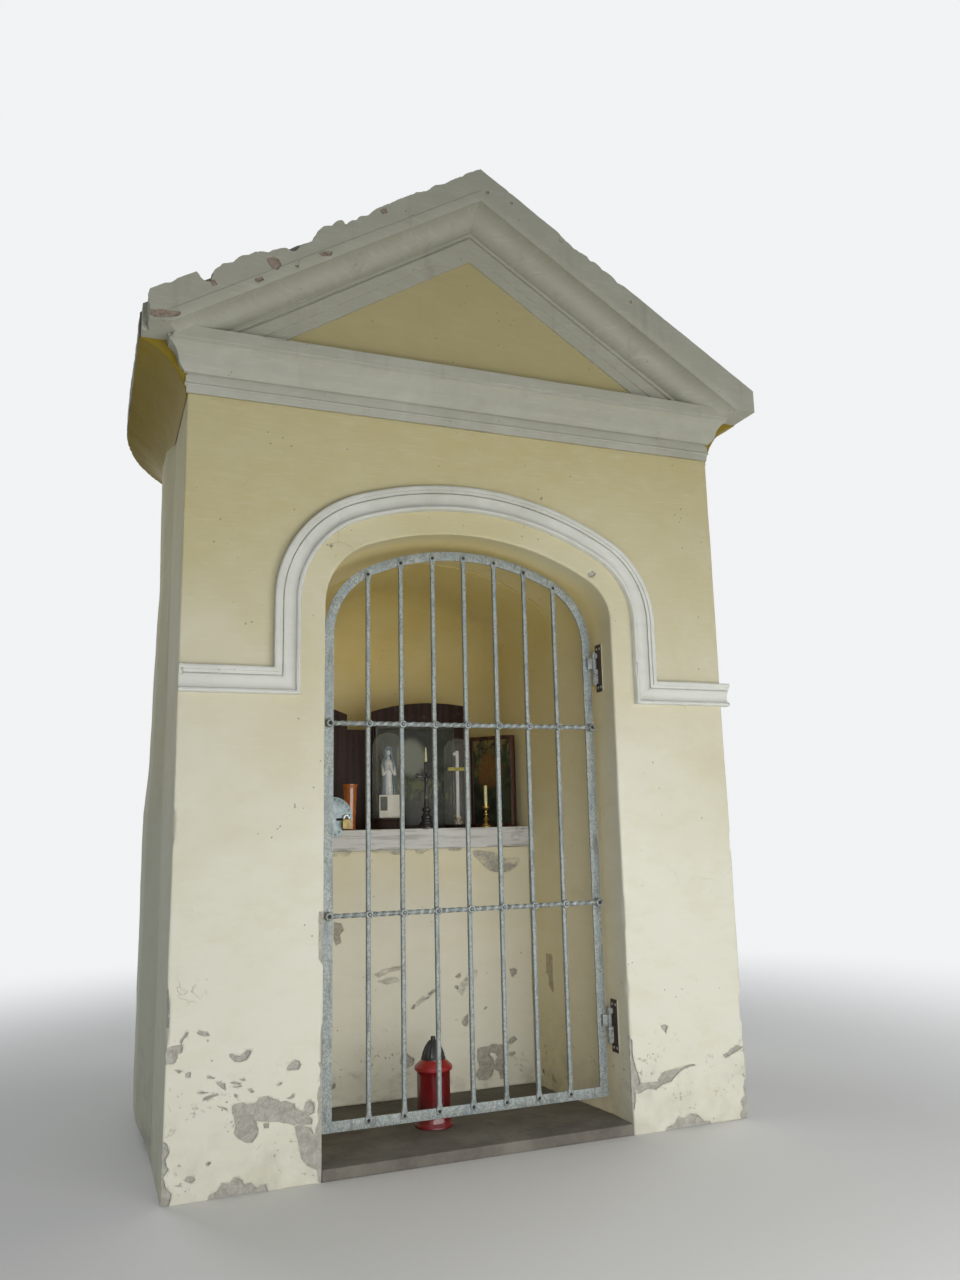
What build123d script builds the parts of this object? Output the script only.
from build123d import *
import math
import os

# Small wayside shrine: plastered masonry with a gabled front, a round apse behind, a deep arched niche
# with an altar, and an iron gate hung in the doorway.
# Millimetres. X runs to the right along the front, Y into the building, Z up from the lowest ground.
# All pieces are drawn with the front wall's face at Y = 0 and set about the plan's middle when written.

# Walls
wall_half_width = 850.0
front_wall_depth = 350.0
apse_centre_y = 700.0
vault_half_width = 480.0
vault_thickness = 150.0
apse_sectors = 3

# Floor and altar
floor_height = 30.0
altar_front_y = 560.0
altar_height = 882.0
altar_slab_thickness = 68.0
altar_slab_lip = 6.0

# Doorway: a three-centred arch whose crown stands a little left of the middle
doorway_half_width = 456.0
doorway_spring = 1512.0
doorway_rise = 238.0
doorway_crown_x = -29.0
doorway_radius_left = 198.0
doorway_radius_right = 150.0
reveal_depth = 120.0

# Niche behind the reveal
niche_half_width = 384.0
niche_radius = 150.0

# Moulding round the doorway, which turns out along the front as an impost band
moulding_gap = 72.0
moulding_steps = [(0.0, 13.0, 20.0), (13.0, 49.0, 12.0), (49.0, 60.0, 18.0), (60.0, 73.0, 24.0)]
impost_drop = 262.0
impost_end_return = 20.0

# Pediment: heights from the band's foot, and drops from the ridge
band_gap = 341.0
cornice_band_height = 58.0
cornice_cyma_height = 79.0
cornice_cyma_sag = 6.0
cornice_edge_height = 37.0
cornice_projection = 61.0
cornice_band_projection = 4.0
cove_drop = 45.0
eaves_rise = 146.2
roof_slope = 0.615
roof_thickness = 75.0
eaves_overhang = 135.0
verge_projection = 120.0
verge_end_inset = 5.0
tympanum_slope = 0.637
tympanum_drop = 258.0
raking_band_projection = 5.0
raking_band_drop = 172.0
raking_fascia_drop = 114.0
raking_drip = 12.0

# Gate
gate_front_y = 107.0
gate_left_x = -434.0
gate_right_x = 436.0
gate_bottom = 85.0
gate_spring_drop = 64.0
gate_crown_drop = 22.0
gate_radius = 235.0
frame_width = 28.0
frame_thickness = 6.0
bar_size = 12.0
bar_count = 7
bar_pitch = 102.1
bar_middle_x = 1.9
tab_width = 18.0
tab_thickness = 4.0
tab_reach = 16.0
crossbar_heights = [648.0, 1185.0]
crossbar_size = 12.0
eye_radius = 10.0
end_eye_radius = 11.0

# Gate hinges
hinge_axis_x = 443.5
hinge_axis_y = 97.0
lower_hinge_bottom = 237.0
upper_hinge_drop = 186.0
hinge_height = 98.0
knuckle_radius = 7.5
pin_radius = 4.0
pin_clearance = 0.3
knuckle_clearance = 1.0
fixed_knuckle_height = 46.0
top_lug_height = 15.0
plate_thickness = 4.0
plate_width = 42.0
plate_overrun = 27.0
leaf_width = 15.0

# Lock
lock_height = 919.0
lock_guard_radius = 57.0
lock_guard_thickness = 3.0
lock_guard_lap = 16.0
padlock_size = (25.0, 14.0, 28.0)
padlock_x = -368.0
padlock_drop = 20.0
padlock_corner = 4.0

# Furnishing: places on the altar are (x, y), and heights stand on it
panel_y = 775.0
panel_thickness = 20.0
panel_left_x = -104.0
panel_right_x = 251.0
panel_left_top = 422.0
panel_crown_x = 126.0
panel_crown = 457.0
panel_right_top = 448.0
wing_left_x = -272.0
wing_tip_x = -198.0
wing_left_top = 436.0
wing_tip_top = 408.0
wing_step_top = 354.0
wing_gap = 1.0
picture_width = 300.0
picture_x = 52.0
picture_height = 365.0
picture_thickness = 18.0
side_picture_start = (246.0, 712.0)
side_picture_end = (362.0, 584.0)
side_picture_height = 325.0
side_picture_thickness = 18.0
left_dome_place = (-72.0, 690.0)
left_dome_radius = 55.0
left_dome_height = 299.0
left_plinth_height = 38.0
left_plinth_radius = 64.0
right_dome_place = (187.0, 690.0)
right_dome_radius = 48.0
right_dome_height = 307.0
right_plinth_height = 12.0
right_plinth_radius = 55.0
glass_thickness = 3.0
statuette_height = 250.0
statuette_radius = 26.0
statuette_outline = [(1.0, 0.0), (0.9, 0.08), (0.62, 0.55), (0.78, 0.74), (0.3, 0.86), (0.42, 0.94),
                     (0.1, 1.0)]
dome_cross_height = 262.0
dome_cross_thickness = 14.0
dome_cross_arm_drop = 66.0
dome_cross_arm_span = 74.0
crucifix_place = (42.0, 612.0)
crucifix_height = 230.0
crucifix_outline = [(34.0, 0.0), (34.0, 12.0), (16.0, 26.0), (18.0, 60.0), (8.0, 74.0), (7.0, 230.0)]
crucifix_arm_height = 180.0
crucifix_arm_span = 68.0
crucifix_arm_size = (10.0, 12.0)
taper_radius = 4.0
taper_height = 52.0
candlestick_place = (270.0, 628.0)
candlestick_outline = [(21.0, 0.0), (21.0, 6.0), (7.0, 18.0), (10.0, 40.0), (6.0, 60.0), (14.0, 72.0),
                       (14.0, 80.0)]
candle_radius = 6.0
candle_height = 70.0
vase_place = (-228.0, 612.0)
vase_top_radius = 26.0
vase_foot_radius = 18.0
vase_height = 152.0
vase_wall = 3.0
ornament_place = (-290.0, 640.0)
ornament_height = 286.0
ornament_outline = [(12.0, 0.0), (12.0, 0.028), (5.0, 0.07), (9.0, 0.5), (6.0, 0.7), (1.0, 1.0)]
lantern_place = (-69.0, 247.0)
lantern_body_outline = [(56.0, 0.0), (50.0, 12.0), (50.0, 152.0), (56.0, 160.0), (56.0, 166.0),
                        (34.0, 185.0)]
lantern_lid_outline = [(34.0, 185.0), (30.6, 201.0), (18.7, 225.0), (7.0, 237.0), (6.0, 247.0)]

# Worked out from the values above
doorway_crown = doorway_spring + doorway_rise
impost_bottom = doorway_spring - impost_drop
vault_top = doorway_crown + vault_thickness
gate_spring = doorway_spring - gate_spring_drop
gate_crown = doorway_crown - gate_crown_drop
hinge_bottoms = [lower_hinge_bottom, doorway_spring - upper_hinge_drop]
band_height = doorway_crown + band_gap
cove_bottom = band_height - cove_drop
cornice_band_top = band_height + cornice_band_height
cornice_cyma_top = cornice_band_top + cornice_cyma_height
cornice_top = cornice_cyma_top + cornice_edge_height
eave_half_width = wall_half_width + eaves_overhang
eave_bottom = band_height + eaves_rise
eave_top = eave_bottom + roof_thickness
wall_top = eave_bottom + roof_slope * eaves_overhang
ridge_height = eave_top + roof_slope * eave_half_width
tympanum_apex = ridge_height - tympanum_drop
raking_band_apex = ridge_height - raking_band_drop
raking_fascia_apex = ridge_height - raking_fascia_drop
apse_axis = Axis((0, apse_centre_y, 0), (0, 0, 1))
plan_middle_y = (apse_centre_y + eave_half_width - verge_projection) / 2
cut_margin = 60.0


def block(x0, x1, y0, y1, z0, z1):
    return Pos((x0 + x1) / 2, (y0 + y1) / 2, (z0 + z1) / 2) * Box(x1 - x0, y1 - y0, z1 - z0)


def upright_cylinder(place, radius, z0, z1):
    return Pos(place[0], place[1], (z0 + z1) / 2) * Cylinder(radius, z1 - z0)


def turned(place, outline):
    # A turned shape: (radius, height) points round an upright axis, closed along it.
    x, y = place
    points = [(x, y, outline[0][1])]
    points += [(x + radius, y, z) for radius, z in outline]
    points.append((x, y, outline[-1][1]))
    face = make_face(Polyline(points, close=True))
    return revolve(face, Axis((x, y, 0), (0, 0, 1)), 360)


def basket_arc_points(side, half, crown_x, spring, crown, radius):
    # Joints and middles of one half of a three-centred arch, from the springing up to the crown.
    reach = half - side * crown_x
    rise = crown - spring
    large = (reach * reach - 2 * reach * radius + rise * rise) / (2 * (rise - radius))
    small_centre = (side * (half - radius), spring)
    large_centre = (crown_x, crown - large)
    along = math.atan2(small_centre[1] - large_centre[1], small_centre[0] - large_centre[0])
    start = 0.0 if side > 0 else math.pi
    joint_middle = (start + along) / 2
    top_middle = (along + math.pi / 2) / 2

    def at(centre, distance, angle):
        return (centre[0] + distance * math.cos(angle), centre[1] + distance * math.sin(angle))

    return {
        "springing": (side * half, spring),
        "haunch_middle": at(small_centre, radius, joint_middle),
        "joint": at(large_centre, large, along),
        "top_middle": at(large_centre, large, top_middle),
        "crown": (crown_x, crown),
    }


def arch_edges(y, base, left, right):
    def p(point):
        return (point[0], y, point[1])

    foot_left = (left["springing"][0], base)
    foot_right = (right["springing"][0], base)
    return [
        Line(p(foot_left), p(foot_right)),
        Line(p(foot_right), p(right["springing"])),
        ThreePointArc(p(right["springing"]), p(right["haunch_middle"]), p(right["joint"])),
        ThreePointArc(p(right["joint"]), p(right["top_middle"]), p(right["crown"])),
        ThreePointArc(p(left["crown"]), p(left["top_middle"]), p(left["joint"])),
        ThreePointArc(p(left["joint"]), p(left["haunch_middle"]), p(left["springing"])),
        Line(p(left["springing"]), p(foot_left)),
    ]


def doorway_sides(grow):
    sides = []
    for side, radius in ((-1, doorway_radius_left), (1, doorway_radius_right)):
        sides.append(basket_arc_points(side, doorway_half_width + grow, doorway_crown_x, doorway_spring,
                                       doorway_crown + grow, radius + grow))
    return sides


def niche_sides():
    return [basket_arc_points(side, niche_half_width, 0.0, doorway_spring, doorway_crown, niche_radius)
            for side in (-1, 1)]


def niche_space():
    # The air of doorway and niche, from below the floor up to the vault.
    base = -cut_margin
    door = Wire(arch_edges(-cut_margin, base, *doorway_sides(0.0)))
    reveal = extrude(Face(door), reveal_depth + cut_margin, dir=(0, 1, 0))
    mouth = Wire(arch_edges(reveal_depth, base, *doorway_sides(0.0)))
    end = Wire(arch_edges(apse_centre_y, base, *niche_sides()))
    passage = Solid.make_loft([mouth, end], True)
    half = niche_sides()[1]

    def p(point):
        return (point[0], apse_centre_y, point[1])

    outline = Wire([
        Line(p((0.0, base)), p((niche_half_width, base))),
        Line(p((niche_half_width, base)), p(half["springing"])),
        ThreePointArc(p(half["springing"]), p(half["haunch_middle"]), p(half["joint"])),
        ThreePointArc(p(half["joint"]), p(half["top_middle"]), p(half["crown"])),
        Line(p(half["crown"]), p((0.0, base))),
    ])
    round_end = revolve(Face(outline), apse_axis, 180)
    return reveal + passage + round_end


def profile_prism(points, y0, y1):
    # A flat outline in X and Z, carried from y0 to y1.
    face = make_face(Polyline([(x, y0, z) for x, z in points], close=True))
    return extrude(face, y1 - y0, dir=(0, 1, 0))


# Walls, floor and altar

def walls(space):
    pieces = {}
    for name, side in (("left", -1), ("right", 1)):
        x0, x1 = sorted((0.0, side * wall_half_width))
        pier = block(x0, x1, 0.0, front_wall_depth, 0.0, doorway_spring)
        pieces["front_wall_" + name] = pier - space
        flank = block(x0, x1, front_wall_depth, apse_centre_y, 0.0, wall_top)
        over_vault = block(-vault_half_width, vault_half_width, front_wall_depth - cut_margin,
                           apse_centre_y + cut_margin, doorway_spring, wall_top + cut_margin)
        pieces["side_wall_" + name] = flank - space - over_vault
    spandrel = block(-wall_half_width, wall_half_width, 0.0, front_wall_depth, doorway_spring, band_height)
    pieces["front_wall_arch"] = spandrel - space
    inner_ridge = ridge_height - roof_thickness
    gable = [(-wall_half_width, band_height), (wall_half_width, band_height), (wall_half_width, wall_top),
             (0.0, inner_ridge), (-wall_half_width, wall_top)]
    pieces["pediment_wall"] = profile_prism(gable, 0.0, front_wall_depth)
    return pieces


def apse_walls():
    section = [(niche_half_width, 0.0), (wall_half_width, 0.0), (wall_half_width, wall_top),
               (vault_half_width, wall_top), (vault_half_width, doorway_spring),
               (niche_half_width, doorway_spring)]
    sweep = 180.0 / apse_sectors
    face = make_face(Polyline([(x, apse_centre_y, z) for x, z in section], close=True))
    pieces = {}
    for index, name in enumerate(("right", "back", "left")):
        sector = revolve(face, apse_axis, sweep)
        pieces["apse_wall_" + name] = sector.rotate(apse_axis, index * sweep)
    return pieces


def vault(space):
    over_passage = block(-vault_half_width, vault_half_width, front_wall_depth, apse_centre_y,
                         doorway_spring, vault_top)
    section = [(0.0, doorway_spring), (vault_half_width, doorway_spring), (vault_half_width, vault_top),
               (0.0, vault_top)]
    face = make_face(Polyline([(x, apse_centre_y, z) for x, z in section], close=True))
    over_apse = revolve(face, apse_axis, 180)
    return {"niche_vault": over_passage - space, "niche_dome": over_apse - space}


def floor_and_altar(space):
    reach = apse_centre_y + wall_half_width
    floor = space & block(-wall_half_width, wall_half_width, 0.0, reach, 0.0, floor_height)
    slab_bottom = altar_height - altar_slab_thickness
    altar = space & block(-wall_half_width, wall_half_width, altar_front_y, reach, floor_height,
                          slab_bottom)
    slab = space & block(-wall_half_width, wall_half_width, altar_front_y - altar_slab_lip, reach,
                         slab_bottom, altar_height)
    return {"floor_slab": floor, "altar_block": altar, "altar_slab": slab}


# Mouldings

def label_outline(grow):
    # The doorway's outline and the wall below the impost, grown outwards by one amount.
    base = floor_height
    arch = Face(Wire(arch_edges(0.0, base, *doorway_sides(moulding_gap + grow))))
    side_reach = wall_half_width + cut_margin
    low = make_face(Polyline([(-side_reach, 0, base), (side_reach, 0, base),
                              (side_reach, 0, impost_bottom + grow),
                              (-side_reach, 0, impost_bottom + grow)], close=True))
    return arch + low


def label_moulding():
    whole = None
    for inner, outer, projection in moulding_steps:
        strip = label_outline(outer) - label_outline(inner)
        step = extrude(strip, projection, dir=(0, -1, 0))
        whole = step if whole is None else whole + step
    total = moulding_steps[-1][1]
    lowest = impost_bottom - cut_margin
    top = doorway_crown + moulding_gap + total + cut_margin
    impost_top = impost_bottom + total
    inside_x = doorway_half_width + moulding_gap + total
    upper = block(-wall_half_width, wall_half_width, -cut_margin, cut_margin, impost_top, top)
    leg = block(-inside_x, inside_x, -cut_margin, cut_margin, lowest, impost_top)
    left_end = block(-wall_half_width, -inside_x, -cut_margin, cut_margin, lowest, impost_top)
    right_end = block(inside_x, wall_half_width + impost_end_return, -cut_margin, cut_margin, lowest,
                      impost_top)
    bands = [(whole & left_end).solid(), (whole & right_end).solid()]
    return {"arch_moulding": whole & (upper + leg), "impost_bands": Compound(children=bands)}


def cornice_profile():
    lower = [(cornice_band_projection, band_height), (cornice_band_projection, cornice_band_top)]
    middle = ((cornice_band_projection + cornice_projection) / 2 - cornice_cyma_sag,
              (cornice_band_top + cornice_cyma_top) / 2 + cornice_cyma_sag)
    upper = [(cornice_projection, cornice_cyma_top), (cornice_projection, cornice_top)]
    return lower, middle, upper


def pediment_cornice():
    lower, middle, upper = cornice_profile()

    def front(point):
        return (0.0, -point[0], point[1])

    outline = Wire([
        Line((0, 0, band_height), front(lower[0])),
        Line(front(lower[0]), front(lower[1])),
        ThreePointArc(front(lower[1]), front(middle), front(upper[0])),
        Line(front(upper[0]), front(upper[1])),
        Line(front(upper[1]), (0, 0, cornice_top)),
        Line((0, 0, cornice_top), (0, 0, band_height)),
    ])
    half = extrude(Face(outline), wall_half_width + cut_margin + cornice_projection, dir=(1, 0, 0))
    run = half + mirror(half, Plane.YZ)

    def end(side, point):
        return (side * (wall_half_width + point[0]), -2 * cornice_projection, point[1])

    # The same profile seen from the front returns the moulding at both ends.
    returns = Wire([
        Line(end(-1, lower[0]), end(1, lower[0])),
        Line(end(1, lower[0]), end(1, lower[1])),
        ThreePointArc(end(1, lower[1]), end(1, middle), end(1, upper[0])),
        Line(end(1, upper[0]), end(1, upper[1])),
        Line(end(1, upper[1]), end(-1, upper[1])),
        Line(end(-1, upper[1]), end(-1, upper[0])),
        ThreePointArc(end(-1, upper[0]), end(-1, middle), end(-1, lower[1])),
        Line(end(-1, lower[1]), end(-1, lower[0])),
    ])
    return run & extrude(Face(returns), 3 * cornice_projection, dir=(0, 1, 0))


def raking_section(x, side, drop_inner, drop_outer):
    def p(projection, z):
        return (side * x, -projection, z)

    points = [
        p(0.0, tympanum_apex - drop_inner),
        p(raking_band_projection, tympanum_apex - drop_inner),
        p(raking_band_projection, raking_band_apex - drop_inner),
        p(verge_projection - raking_drip, raking_fascia_apex - drop_outer),
        p(verge_projection, raking_fascia_apex - drop_outer),
        p(verge_projection, ridge_height - drop_outer),
        p(0.0, ridge_height - drop_outer),
    ]
    return Wire.make_polygon(points, close=True)


def raking_cornices(level_cornice):
    reach = eave_half_width - verge_end_inset
    pieces = {}
    for name, side in (("left", -1), ("right", 1)):
        top = raking_section(0.0, side, 0.0, 0.0)
        foot = raking_section(reach, side, tympanum_slope * reach, roof_slope * reach)
        rake = Solid.make_loft([top, foot], True)
        below = block(-2 * reach, 2 * reach, -2 * verge_projection, cut_margin, 0.0, eave_bottom)
        pieces["raking_cornice_" + name] = rake - below - level_cornice
    return pieces


def eaves_coves():
    # The hollow curve leaves the wall upright and ends under the edge of the roof.
    rise = eave_bottom - cove_bottom
    radius = (eaves_overhang ** 2 + rise ** 2) / (2 * eaves_overhang)
    half_turn = math.asin(rise / radius) / 2

    def edges(y):
        foot = (wall_half_width, y, cove_bottom)
        lip = (eave_half_width, y, eave_bottom)
        middle = (wall_half_width + radius * (1 - math.cos(half_turn)), y,
                  cove_bottom + radius * math.sin(half_turn))
        top = (wall_half_width, y, wall_top)
        return Wire([ThreePointArc(foot, middle, lip), Line(lip, top), Line(top, foot)])

    right = extrude(Face(edges(0.0)), apse_centre_y, dir=(0, 1, 0))
    return {
        "eaves_cove_sides": Compound(children=[right, mirror(right, Plane.YZ)]),
        "eaves_cove_apse": revolve(Face(edges(apse_centre_y)), apse_axis, 180),
    }


def roof():
    section = [(0.0, ridge_height), (eave_half_width, eave_top), (eave_half_width, eave_bottom),
               (0.0, ridge_height - roof_thickness)]
    right = profile_prism(section, 0.0, apse_centre_y)
    face = make_face(Polyline([(x, apse_centre_y, z) for x, z in section], close=True))
    return {
        "roof_slope_right": right,
        "roof_slope_left": mirror(right, Plane.YZ),
        "roof_apse": revolve(face, apse_axis, 180),
    }


# Gate

def gate_sides(inset):
    middle = (gate_left_x + gate_right_x) / 2
    half = (gate_right_x - gate_left_x) / 2 - inset
    sides = []
    for side in (-1, 1):
        points = basket_arc_points(side, half, 0.0, gate_spring, gate_crown - inset, gate_radius - inset)
        sides.append({key: (value[0] + middle, value[1]) for key, value in points.items()})
    return sides


def gate_frame():
    outer = Face(Wire(arch_edges(gate_front_y, gate_bottom, *gate_sides(0.0))))
    inner = Face(Wire(arch_edges(gate_front_y, gate_bottom + frame_width, *gate_sides(frame_width))))
    ring = extrude(outer, frame_thickness, dir=(0, 1, 0)) - extrude(inner, frame_thickness, dir=(0, 1, 0))
    y0 = gate_front_y - cut_margin
    y1 = gate_front_y + cut_margin
    rail_top = gate_bottom + frame_width
    middle = (gate_left_x + gate_right_x) / 2
    return {
        "gate_bottom_rail": ring & block(gate_left_x, gate_right_x, y0, y1, gate_bottom, rail_top),
        "gate_stiles": Compound(children=[
            (ring & block(gate_left_x, middle, y0, y1, rail_top, gate_spring)).solid(),
            (ring & block(middle, gate_right_x, y0, y1, rail_top, gate_spring)).solid(),
        ]),
        "gate_arch": ring & block(gate_left_x, gate_right_x, y0, y1, gate_spring, gate_crown + cut_margin),
    }


def bar_places():
    first = bar_middle_x - bar_pitch * (bar_count - 1) / 2
    return [first + index * bar_pitch for index in range(bar_count)]


def arch_height_at(x, sides):
    # Height of the arch line over x, from the circles that make it.
    left, right = sides
    half = right if x > right["crown"][0] else left
    joint = half["joint"]
    crown = half["crown"]
    run = abs(joint[0] - crown[0])
    drop = crown[1] - joint[1]
    large = (run * run + drop * drop) / (2 * drop)
    along = abs(x - crown[0])
    if along <= run:
        return crown[1] - large + math.sqrt(large * large - along * along)
    springing = half["springing"]
    reach = abs(springing[0] - crown[0])
    radius = gate_radius - frame_width
    offset = along - (reach - radius)
    return springing[1] + math.sqrt(max(0.0, radius * radius - offset * offset))


def gate_bars():
    sides = gate_sides(frame_width)
    front = gate_front_y + frame_thickness - bar_size
    back = gate_front_y + frame_thickness
    opening = extrude(Face(Wire(arch_edges(front, gate_bottom + frame_width, *sides))), bar_size,
                      dir=(0, 1, 0))
    solids = []
    for x in bar_places():
        shaft = block(x - bar_size / 2, x + bar_size / 2, front, back, gate_bottom, gate_crown) & opening
        tabs = []
        for z, way in ((gate_bottom + frame_width, -1), (arch_height_at(x, sides), 1)):
            far = z + way * tab_reach
            near = z - way * tab_reach
            low, high = sorted((far, near))
            tabs.append(block(x - tab_width / 2, x + tab_width / 2, gate_front_y - tab_thickness,
                              gate_front_y, low, high))
        solids.append(shaft + tabs[0] + tabs[1])
    return Compound(children=[solid.solid() for solid in solids])


def gate_crossbar(height):
    back = gate_front_y + frame_thickness - bar_size
    front = back - crossbar_size
    middle_inset = frame_width / 2
    left = gate_left_x + middle_inset
    right = gate_right_x - middle_inset
    bar = block(left, right, front, back, height - crossbar_size / 2, height + crossbar_size / 2)

    def eye(x, radius, y0, y1):
        return Pos(x, (y0 + y1) / 2, height) * Rot(90, 0, 0) * Cylinder(radius, y1 - y0)

    for x in bar_places():
        bar = bar + eye(x, eye_radius, front, back)
    for x in (left, right):
        bar = bar + eye(x, end_eye_radius, front, gate_front_y)
    return bar


def hinge_pins():
    solids = []
    for bottom in hinge_bottoms:
        place = (hinge_axis_x, hinge_axis_y)
        top = bottom + hinge_height
        plate_face = doorway_half_width - plate_thickness
        plate = block(plate_face, doorway_half_width, hinge_axis_y + knuckle_radius - plate_width,
                      hinge_axis_y + knuckle_radius, bottom - plate_overrun, top + plate_overrun)
        piece = plate + upright_cylinder(place, pin_radius, bottom, top)
        for low, high in ((bottom, bottom + fixed_knuckle_height), (top - top_lug_height, top)):
            lug = upright_cylinder(place, knuckle_radius, low, high)
            web = block(hinge_axis_x, plate_face, hinge_axis_y - knuckle_radius,
                        hinge_axis_y + knuckle_radius, low, high)
            piece = piece + lug + web
        solids.append(piece.solid())
    return Compound(children=solids)


def gate_knuckles():
    solids = []
    for bottom in hinge_bottoms:
        low = bottom + fixed_knuckle_height + knuckle_clearance
        high = bottom + hinge_height - top_lug_height - knuckle_clearance
        place = (hinge_axis_x, hinge_axis_y)
        leaf = block(gate_right_x - leaf_width, hinge_axis_x - pin_radius - pin_clearance, hinge_axis_y,
                     gate_front_y, low, high)
        barrel = upright_cylinder(place, knuckle_radius, low, high)
        bore = upright_cylinder(place, pin_radius + pin_clearance, low - cut_margin, high + cut_margin)
        solids.append((barrel + leaf - bore).solid())
    return Compound(children=solids)


def lock():
    stile_edge = gate_left_x + frame_width
    front = gate_front_y + frame_thickness
    disc = Pos(stile_edge, front + lock_guard_thickness / 2, lock_height) * Rot(90, 0, 0) * Cylinder(
        lock_guard_radius, lock_guard_thickness)
    guard = disc & block(stile_edge - lock_guard_lap, stile_edge + lock_guard_radius,
                         front, front + lock_guard_thickness,
                         lock_height - lock_guard_radius, lock_height + lock_guard_radius)
    width, depth, height = padlock_size
    case = block(padlock_x - width / 2, padlock_x + width / 2, front - depth, front,
                 lock_height - padlock_drop - height / 2, lock_height - padlock_drop + height / 2)
    padlock = fillet(case.edges().filter_by(Axis.Y), padlock_corner)
    return {"gate_lock_guard": guard, "gate_padlock": padlock}


# Furnishing

def retable():
    def p(x, height):
        return (x, panel_y, altar_height + height)

    left_top = p(panel_left_x, panel_left_top)
    right_top = p(panel_right_x, panel_right_top)
    outline = Wire([
        Line(p(panel_left_x, 0.0), p(panel_right_x, 0.0)),
        Line(p(panel_right_x, 0.0), right_top),
        ThreePointArc(right_top, p(panel_crown_x, panel_crown), left_top),
        Line(left_top, p(panel_left_x, 0.0)),
    ])
    centre = extrude(Face(outline), panel_thickness, dir=(0, 1, 0))
    outline = [
        (wing_left_x, 0.0), (panel_left_x - wing_gap, 0.0), (panel_left_x - wing_gap, wing_step_top),
        (wing_tip_x, wing_step_top), (wing_tip_x, wing_tip_top), (wing_left_x, wing_left_top),
    ]
    wing = profile_prism([(x, altar_height + height) for x, height in outline], panel_y,
                         panel_y + panel_thickness)
    return {"retable_centre": centre, "retable_wing": wing}


def pictures():
    centre = block(picture_x - picture_width / 2, picture_x + picture_width / 2,
                   panel_y - picture_thickness, panel_y, altar_height, altar_height + picture_height)
    x0, y0 = side_picture_start
    x1, y1 = side_picture_end
    length = math.hypot(x1 - x0, y1 - y0)
    back_x = -(y1 - y0) / length * side_picture_thickness
    back_y = (x1 - x0) / length * side_picture_thickness
    plan = [(x0, y0), (x1, y1), (x1 + back_x, y1 + back_y), (x0 + back_x, y0 + back_y)]
    face = make_face(Polyline([(x, y, altar_height) for x, y in plan], close=True))
    side = extrude(face, side_picture_height, dir=(0, 0, 1))
    return {"centre_picture": centre, "side_picture": side}


def glass_dome(place, radius, bottom, height):
    x, y = place

    def half(r, top):
        return Wire([
            Line((x, y, bottom), (x + r, y, bottom)),
            Line((x + r, y, bottom), (x + r, y, top - r)),
            ThreePointArc((x + r, y, top - r), (x + r * math.cos(math.pi / 4), y,
                                                top - r + r * math.sin(math.pi / 4)), (x, y, top)),
            Line((x, y, top), (x, y, bottom)),
        ])

    axis = Axis((x, y, 0), (0, 0, 1))
    outer = revolve(Face(half(radius, bottom + height)), axis, 360)
    inner = revolve(Face(half(radius - glass_thickness, bottom + height - glass_thickness)), axis, 360)
    return outer - inner


def domes():
    left_base = altar_height + left_plinth_height
    right_base = altar_height + right_plinth_height
    figure = turned(left_dome_place, [(radius * statuette_radius, left_base + height * statuette_height)
                                      for radius, height in statuette_outline])
    x, y = right_dome_place
    half = dome_cross_thickness / 2
    top = right_base + dome_cross_height
    arm = top - dome_cross_arm_drop
    cross = block(x - half, x + half, y - half / 2, y + half / 2, right_base, top)
    cross = cross + block(x - dome_cross_arm_span / 2, x + dome_cross_arm_span / 2, y - half / 2,
                          y + half / 2, arm - half, arm + half)
    return {
        "glass_dome_left": glass_dome(left_dome_place, left_dome_radius, left_base, left_dome_height),
        "glass_dome_right": glass_dome(right_dome_place, right_dome_radius, right_base, right_dome_height),
        "dome_plinths": Compound(children=[
            upright_cylinder(left_dome_place, left_plinth_radius, altar_height, left_base).solid(),
            upright_cylinder(right_dome_place, right_plinth_radius, altar_height, right_base).solid(),
        ]),
        "statuette": figure,
        "dome_cross": cross,
    }


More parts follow.
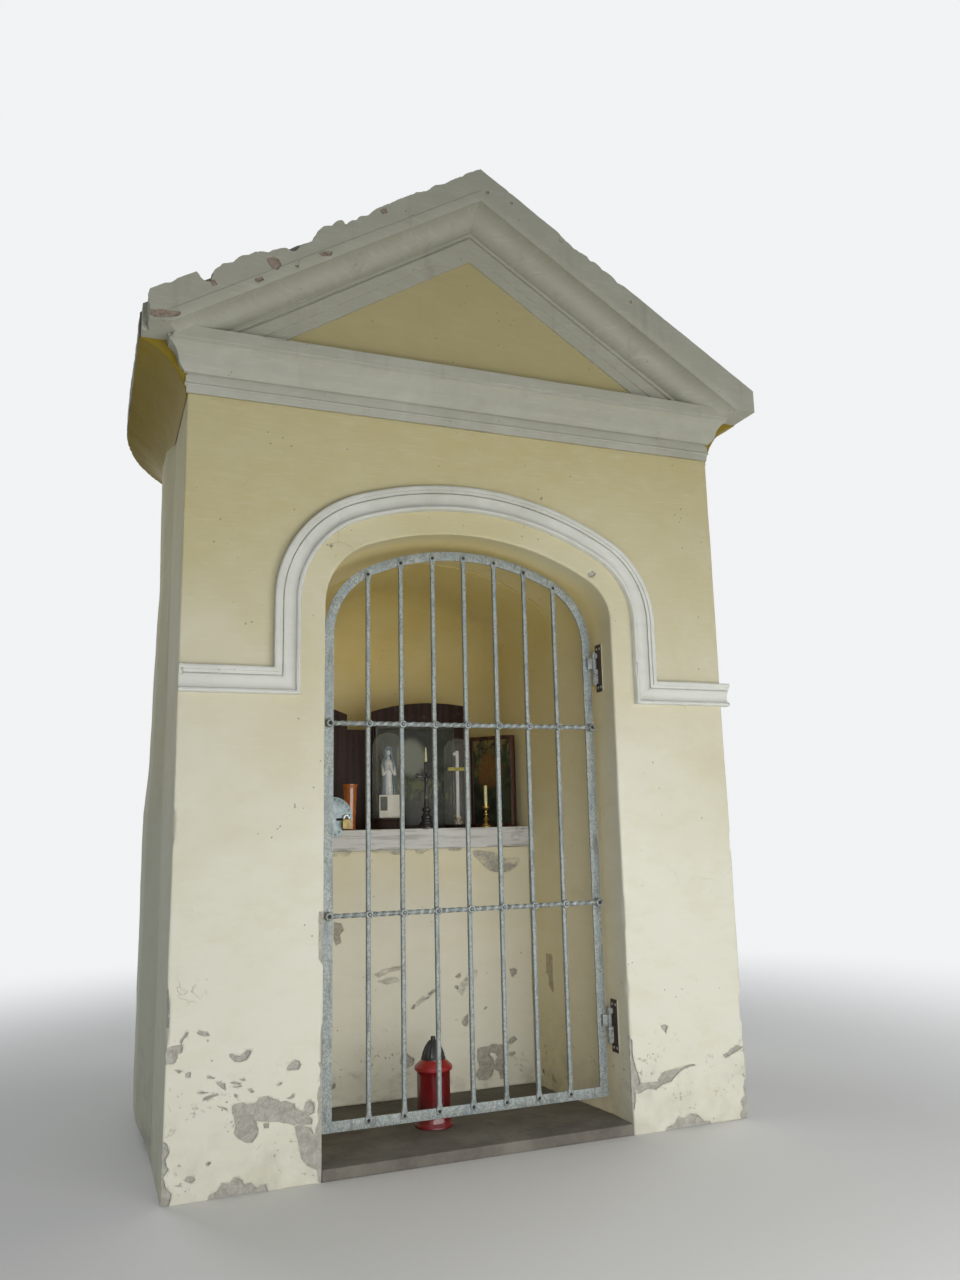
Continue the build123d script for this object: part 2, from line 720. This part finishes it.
def altar_pieces():
    z = altar_height

    def on_altar(place, outline):
        return turned(place, [(radius, z + height) for radius, height in outline])

    x, y = crucifix_place
    depth, height = crucifix_arm_size
    arms = block(x - crucifix_arm_span / 2, x + crucifix_arm_span / 2, y - depth / 2, y + depth / 2,
                 z + crucifix_arm_height - height / 2, z + crucifix_arm_height + height / 2)
    crucifix_top = z + crucifix_outline[-1][1]
    taper = upright_cylinder(crucifix_place, taper_radius, crucifix_top, crucifix_top + taper_height)
    candlestick_top = z + candlestick_outline[-1][1]
    candle = upright_cylinder(candlestick_place, candle_radius, candlestick_top,
                              candlestick_top + candle_height)
    vase = on_altar(vase_place, [
        (vase_foot_radius, 0.0), (vase_top_radius, vase_height), (vase_top_radius - vase_wall, vase_height),
        (vase_foot_radius - vase_wall, vase_wall),
    ])
    ornament = [(radius, share * ornament_height) for radius, share in ornament_outline]
    return {
        "black_crucifix": on_altar(crucifix_place, crucifix_outline) + arms,
        "brass_candlestick": on_altar(candlestick_place, candlestick_outline),
        "candles": Compound(children=[taper.solid(), candle.solid()]),
        "vase": vase,
        "gilt_ornament": on_altar(ornament_place, ornament),
    }


def lantern():
    pieces = {}
    for name, outline in (("lantern_body", lantern_body_outline), ("lantern_lid", lantern_lid_outline)):
        raised = [(radius, floor_height + height) for radius, height in outline]
        pieces[name] = turned(lantern_place, raised)
    return pieces


def all_pieces():
    space = niche_space()
    pieces = {}
    pieces.update(floor_and_altar(space))
    pieces.update(walls(space))
    pieces.update(apse_walls())
    pieces.update(vault(space))
    pieces.update(label_moulding())
    level_cornice = pediment_cornice()
    pieces["pediment_cornice"] = level_cornice
    pieces.update(raking_cornices(level_cornice))
    pieces.update(eaves_coves())
    pieces.update(roof())
    pieces.update(retable())
    pieces.update(pictures())
    pieces.update(domes())
    pieces.update(altar_pieces())
    pieces.update(lantern())
    pieces["hinge_plates"] = hinge_pins()
    pieces.update(gate_frame())
    pieces["gate_bars"] = gate_bars()
    pieces["gate_crossbars"] = Compound(children=[gate_crossbar(height).solid()
                                                  for height in crossbar_heights])
    pieces["gate_knuckles"] = gate_knuckles()
    pieces.update(lock())
    return pieces


os.makedirs("parts", exist_ok=True)
for node, shape in all_pieces().items():
    export_step(Pos(0, -plan_middle_y, 0) * shape, "parts/" + node + ".step")
